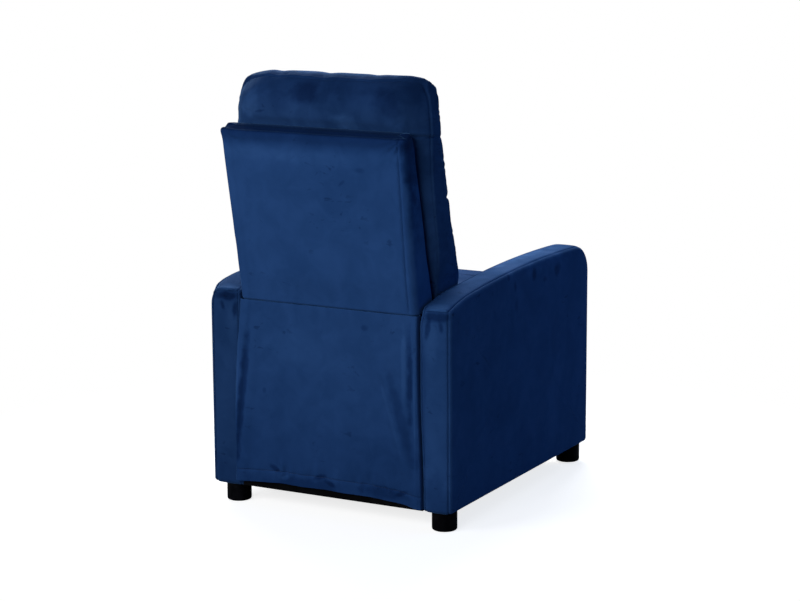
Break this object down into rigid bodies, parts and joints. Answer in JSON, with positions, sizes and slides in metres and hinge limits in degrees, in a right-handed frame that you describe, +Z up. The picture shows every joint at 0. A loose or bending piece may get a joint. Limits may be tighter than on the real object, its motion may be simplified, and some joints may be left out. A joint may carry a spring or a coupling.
{
  "type": "reclining armchair",
  "caption": "Slim push-back recliner with upholstered arms on round feet, a gliding seat, a hinged back with a rear cloth, and a footrest on folding links.",
  "frame": {"origin": "on the floor, under the middle of the chair's overall box", "axes": "+Z up, the sitter faces -Y, +X is to the sitter's left"},
  "size_m": [0.62, 0.824, 1.024],
  "materials": {
    "velvet": "navy velvet",
    "wood": "plain plywood",
    "black_plastic": "satin black",
    "black_steel": "black powder coat",
    "zinc_steel": "zinc plated",
    "nylon": "natural nylon"
  },
  "bodies": {
    "root": {"arm_cover_left": "velvet", "arm_cover_right": "velvet", "arm_frame_left": "wood", "arm_frame_right": "wood", "foot_front_left": "black_plastic", "foot_front_right": "black_plastic", "foot_rear_left": "black_plastic", "foot_rear_right": "black_plastic", "foot_bolts": "zinc_steel", "front_cross_rail": "black_steel", "rear_cross_rail": "black_steel", "corner_brackets": "zinc_steel", "glide_rail_left": "black_steel", "glide_rail_right": "black_steel", "rail_bolts": "zinc_steel", "back_hinge_plate_left": "black_steel", "back_hinge_plate_right": "black_steel", "back_hinge_pins": "zinc_steel", "hinge_bolts": "zinc_steel"},
    "seat": {"seat_frame": "wood", "seat_springs": "zinc_steel", "seat_cushion": "velvet", "side_plate_left": "black_steel", "side_plate_right": "black_steel", "glide_blocks": "nylon", "seat_screws": "zinc_steel", "seat_rivets": "zinc_steel"},
    "front_links": {"front_link_left": "black_steel", "front_link_right": "black_steel", "front_link_tie": "black_steel", "front_link_rivets": "zinc_steel"},
    "footrest": {"footrest_board": "wood", "footrest_pad": "velvet", "footrest_bracket_left": "black_steel", "footrest_bracket_right": "black_steel", "footrest_rivets": "zinc_steel", "footrest_screws": "zinc_steel"},
    "back": {"back_frame": "wood", "back_shell": "velvet", "back_cushion": "velvet", "back_bracket_left": "black_steel", "back_bracket_right": "black_steel", "back_bolts": "zinc_steel"},
    "cloth": {"rear_cloth": "velvet"},
    "support_left": {"support_link_left": "black_steel"},
    "long_left": {"long_link_left": "black_steel", "long_link_rivets_left": "zinc_steel"},
    "upper_left": {"upper_link_left": "black_steel"},
    "support_right": {"support_link_right": "black_steel"},
    "long_right": {"long_link_right": "black_steel", "long_link_rivets_right": "zinc_steel"},
    "upper_right": {"upper_link_right": "black_steel"}
  },
  "joints": [
    {"name": "footrest_open", "type": "hinge", "parent": "seat", "child": "front_links", "pos_m": [0, -0.195, 0.284], "axis": [-1, 0, 0], "range_deg": [0, 90]},
    {"name": "seat_glide", "type": "slide", "parent": "root", "child": "seat", "axis": [0, -1, 0], "range_m": [0, 0.06]},
    {"name": "back_recline", "type": "hinge", "parent": "root", "child": "back", "pos_m": [0, 0.273, 0.33], "axis": [-1, 0, 0], "range_deg": [0, 25]},
    {"name": "cloth_hang", "type": "hinge", "parent": "back", "child": "cloth", "pos_m": [0, 0.344, 0.495], "axis": [-1, 0, 0], "range_deg": [-25, 0]},
    {"name": "support_turn_left", "type": "hinge", "parent": "seat", "child": "support_left", "pos_m": [0, -0.16264, 0.26822], "axis": [-1, 0, 0], "range_deg": [0, 90]},
    {"name": "long_turn_left", "type": "hinge", "parent": "front_links", "child": "long_left", "pos_m": [0, -0.13598, 0.10761], "axis": [-1, 0, 0], "range_deg": [-90, 0]},
    {"name": "upper_turn_left", "type": "hinge", "parent": "front_links", "child": "upper_left", "pos_m": [0, -0.12551, 0.07632], "axis": [-1, 0, 0], "range_deg": [-90, 0]},
    {"name": "support_turn_right", "type": "hinge", "parent": "seat", "child": "support_right", "pos_m": [0, -0.16264, 0.26822], "axis": [-1, 0, 0], "range_deg": [0, 90]},
    {"name": "long_turn_right", "type": "hinge", "parent": "front_links", "child": "long_right", "pos_m": [0, -0.13598, 0.10761], "axis": [-1, 0, 0], "range_deg": [-90, 0]},
    {"name": "upper_turn_right", "type": "hinge", "parent": "front_links", "child": "upper_right", "pos_m": [0, -0.12551, 0.07632], "axis": [-1, 0, 0], "range_deg": [-90, 0]},
    {"name": "footrest_turn", "type": "hinge", "parent": "long_left", "child": "footrest", "pos_m": [0, -0.34091, 0.20756], "axis": [-1, 0, 0], "range_deg": [0, 90]}
  ],
  "couplings": [
    {"joint": "seat_glide", "follows": "footrest_open", "m_per_rad": 0.03819},
    {"joint": "cloth_hang", "follows": "back_recline", "ratio": -1},
    {"joint": "support_turn_left", "follows": "footrest_open", "ratio": 1},
    {"joint": "long_turn_left", "follows": "footrest_open", "ratio": -1},
    {"joint": "upper_turn_left", "follows": "footrest_open", "ratio": -1},
    {"joint": "support_turn_right", "follows": "footrest_open", "ratio": 1},
    {"joint": "long_turn_right", "follows": "footrest_open", "ratio": -1},
    {"joint": "upper_turn_right", "follows": "footrest_open", "ratio": -1},
    {"joint": "footrest_turn", "follows": "footrest_open", "ratio": 1}
  ]
}
